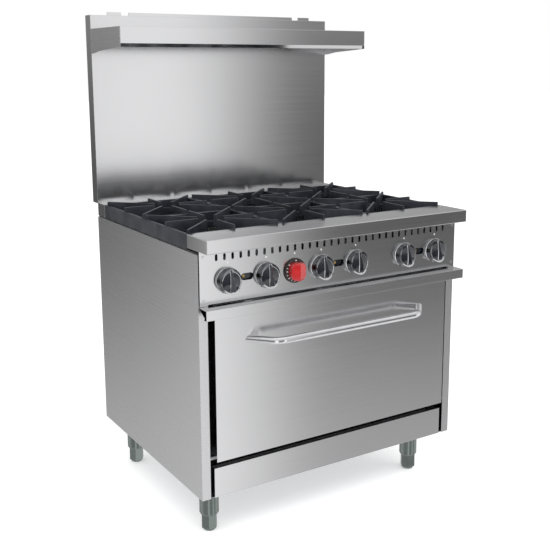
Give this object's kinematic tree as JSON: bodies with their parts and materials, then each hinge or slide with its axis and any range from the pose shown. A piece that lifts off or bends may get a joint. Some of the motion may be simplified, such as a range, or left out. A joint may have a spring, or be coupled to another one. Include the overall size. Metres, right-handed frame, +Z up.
{
  "type": "commercial gas range",
  "caption": "Freestanding restaurant gas range with open top burners under cast grates, knob panel, drop-door oven, crumb tray, legs and a backguard with high shelf.",
  "frame": {"origin": "on the floor at the centre of the footprint, door handle and backguard included", "axes": "+Z up, -Y out of the oven door, +X to the right of a cook who faces the range"},
  "size_m": [0.9144, 0.86, 1.5247],
  "materials": {
    "stainless": "brushed stainless sheet",
    "enamel": "black baked enamel",
    "galvanised": "aluminised steel sheet",
    "iron": "black cast iron",
    "chrome_trim": "polished chrome",
    "red_knob": "red moulded phenolic",
    "brass_valve": "machined brass",
    "gas_steel": "black steel pipe",
    "leg_nickel": "nickel plated steel",
    "lagging": "mineral fibre blanket",
    "seal": "woven heat seal"
  },
  "bodies": {
    "range_body": {"side_panel_left": "stainless", "side_panel_right": "stainless", "rear_panel": "galvanised", "base_pan": "galvanised", "kick_panel": "stainless", "leg_tubes": "leg_nickel", "oven_front_frame": "enamel", "oven_walls": "enamel", "oven_roof": "enamel", "oven_floor": "enamel", "oven_insulation": "lagging", "rack_guides": "chrome_trim", "oven_burner": "iron", "oven_baffle": "enamel", "door_gasket": "seal", "hinge_brackets": "galvanised", "control_panel": "stainless", "panel_screws": "stainless", "burner_valves": "brass_valve", "thermostat_valve": "brass_valve", "gas_pipe": "gas_steel", "top_burners_left": "iron", "top_burners_centre": "iron", "top_burners_right": "iron", "cooktop_frame": "enamel", "front_rail": "stainless", "rear_deck_strip": "stainless", "backguard_shell": "stainless", "backguard_cover": "galvanised", "flue_top_strip": "stainless", "backguard_posts": "galvanised", "high_shelf": "stainless", "shelf_bracket_left": "stainless", "shelf_bracket_right": "stainless", "tray_runners": "galvanised"},
    "oven_door": {"door_outer_panel": "stainless", "door_inner_panel": "enamel", "door_insulation": "lagging", "door_handle": "chrome_trim", "door_hinges": "galvanised"},
    "tray": {"crumb_tray": "galvanised", "front_ledge": "stainless"},
    "rack": {"oven_rack": "chrome_trim"},
    "knob_1": {"burner_knob_1": "chrome_trim"},
    "knob_2": {"burner_knob_2": "chrome_trim"},
    "knob_3": {"burner_knob_3": "chrome_trim"},
    "knob_4": {"burner_knob_4": "chrome_trim"},
    "knob_5": {"burner_knob_5": "chrome_trim"},
    "knob_6": {"burner_knob_6": "chrome_trim"},
    "thermostat": {"thermostat_knob": "red_knob"},
    "lift_grate_front_left": {"grate_front_left": "iron"},
    "lift_grate_front_centre": {"grate_front_centre": "iron"},
    "lift_grate_front_right": {"grate_front_right": "iron"},
    "screw_foot_front_left": {"foot_front_left": "leg_nickel"},
    "screw_foot_front_right": {"foot_front_right": "leg_nickel"},
    "lift_grate_back_left": {"grate_back_left": "iron"},
    "lift_grate_back_centre": {"grate_back_centre": "iron"},
    "lift_grate_back_right": {"grate_back_right": "iron"},
    "screw_foot_back_left": {"foot_back_left": "leg_nickel"},
    "screw_foot_back_right": {"foot_back_right": "leg_nickel"}
  },
  "joints": [
    {"name": "oven_door_hinge", "type": "hinge", "parent": "range_body", "child": "oven_door", "pos_m": [0, -0.337, 0.272], "axis": [1, 0, 0], "range_deg": [0, 90]},
    {"name": "tray_slide", "type": "slide", "parent": "range_body", "child": "tray", "axis": [0, -1, 0], "range_m": [0, 0.5]},
    {"name": "rack_slide", "type": "slide", "parent": "range_body", "child": "rack", "axis": [0, -1, 0], "range_m": [0, 0.03]},
    {"name": "knob_1_turn", "type": "hinge", "parent": "range_body", "child": "knob_1", "pos_m": [-0.369, -0.344, 0.781], "axis": [0, -1, 0], "range_deg": [0, 90]},
    {"name": "knob_2_turn", "type": "hinge", "parent": "range_body", "child": "knob_2", "pos_m": [-0.2465, -0.344, 0.781], "axis": [0, -1, 0], "range_deg": [0, 90]},
    {"name": "knob_3_turn", "type": "hinge", "parent": "range_body", "child": "knob_3", "pos_m": [-0.062, -0.344, 0.781], "axis": [0, -1, 0], "range_deg": [0, 90]},
    {"name": "knob_4_turn", "type": "hinge", "parent": "range_body", "child": "knob_4", "pos_m": [0.062, -0.344, 0.781], "axis": [0, -1, 0], "range_deg": [0, 90]},
    {"name": "knob_5_turn", "type": "hinge", "parent": "range_body", "child": "knob_5", "pos_m": [0.2465, -0.344, 0.781], "axis": [0, -1, 0], "range_deg": [0, 90]},
    {"name": "knob_6_turn", "type": "hinge", "parent": "range_body", "child": "knob_6", "pos_m": [0.369, -0.344, 0.781], "axis": [0, -1, 0], "range_deg": [0, 90]},
    {"name": "thermostat_turn", "type": "hinge", "parent": "range_body", "child": "thermostat", "pos_m": [-0.153, -0.344, 0.781], "axis": [0, -1, 0], "range_deg": [0, 270]},
    {"name": "grate_front_left_lift", "type": "slide", "parent": "range_body", "child": "lift_grate_front_left", "axis": [0, 0, 1], "range_m": [0, 0.06]},
    {"name": "grate_front_centre_lift", "type": "slide", "parent": "range_body", "child": "lift_grate_front_centre", "axis": [0, 0, 1], "range_m": [0, 0.06]},
    {"name": "grate_front_right_lift", "type": "slide", "parent": "range_body", "child": "lift_grate_front_right", "axis": [0, 0, 1], "range_m": [0, 0.06]},
    {"name": "foot_front_left_screw", "type": "slide", "parent": "range_body", "child": "screw_foot_front_left", "axis": [0, 0, -1], "range_m": [0, 0.04]},
    {"name": "foot_front_right_screw", "type": "slide", "parent": "range_body", "child": "screw_foot_front_right", "axis": [0, 0, -1], "range_m": [0, 0.04]},
    {"name": "grate_back_left_lift", "type": "slide", "parent": "range_body", "child": "lift_grate_back_left", "axis": [0, 0, 1], "range_m": [0, 0.06]},
    {"name": "grate_back_centre_lift", "type": "slide", "parent": "range_body", "child": "lift_grate_back_centre", "axis": [0, 0, 1], "range_m": [0, 0.06]},
    {"name": "grate_back_right_lift", "type": "slide", "parent": "range_body", "child": "lift_grate_back_right", "axis": [0, 0, 1], "range_m": [0, 0.06]},
    {"name": "foot_back_left_screw", "type": "slide", "parent": "range_body", "child": "screw_foot_back_left", "axis": [0, 0, -1], "range_m": [0, 0.04]},
    {"name": "foot_back_right_screw", "type": "slide", "parent": "range_body", "child": "screw_foot_back_right", "axis": [0, 0, -1], "range_m": [0, 0.04]}
  ]
}
